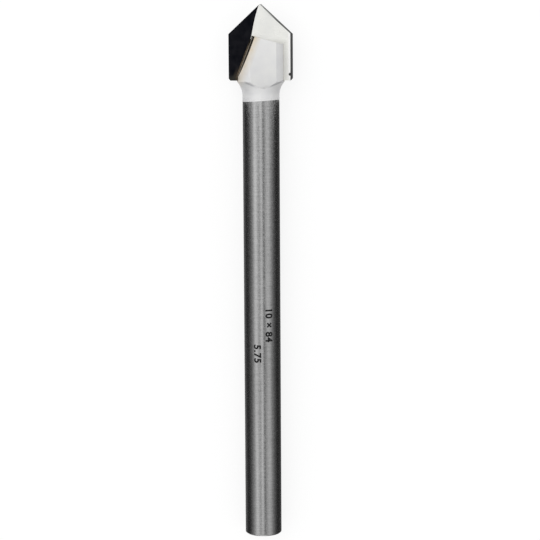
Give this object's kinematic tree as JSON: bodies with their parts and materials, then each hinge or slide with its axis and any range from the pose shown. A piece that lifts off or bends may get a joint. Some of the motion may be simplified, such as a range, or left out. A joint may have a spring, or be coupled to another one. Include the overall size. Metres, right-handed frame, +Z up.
{
  "type": "tile drill bit",
  "caption": "Tile and glass drill bit: round steel shank, concave neck and slotted head holding a brazed spear-shaped carbide plate.",
  "frame": {"origin": "centre of the bounding box on the surface that the bit lies on", "axes": "+Y along the tool axis from the shank end to the point, +Z up out of the front flat, +X across the carbide plate"},
  "size_m": [0.01, 0.084, 0.0062],
  "materials": {
    "steel": "ground grey shank, blasted bright neck, bright ground head",
    "carbide": "ground tungsten carbide, dark polished rake faces",
    "braze": "dull golden brown braze film"
  },
  "bodies": {
    "root": {"shank": "steel", "carbide_tip": "carbide", "braze_seam": "braze"}
  },
  "joints": []
}
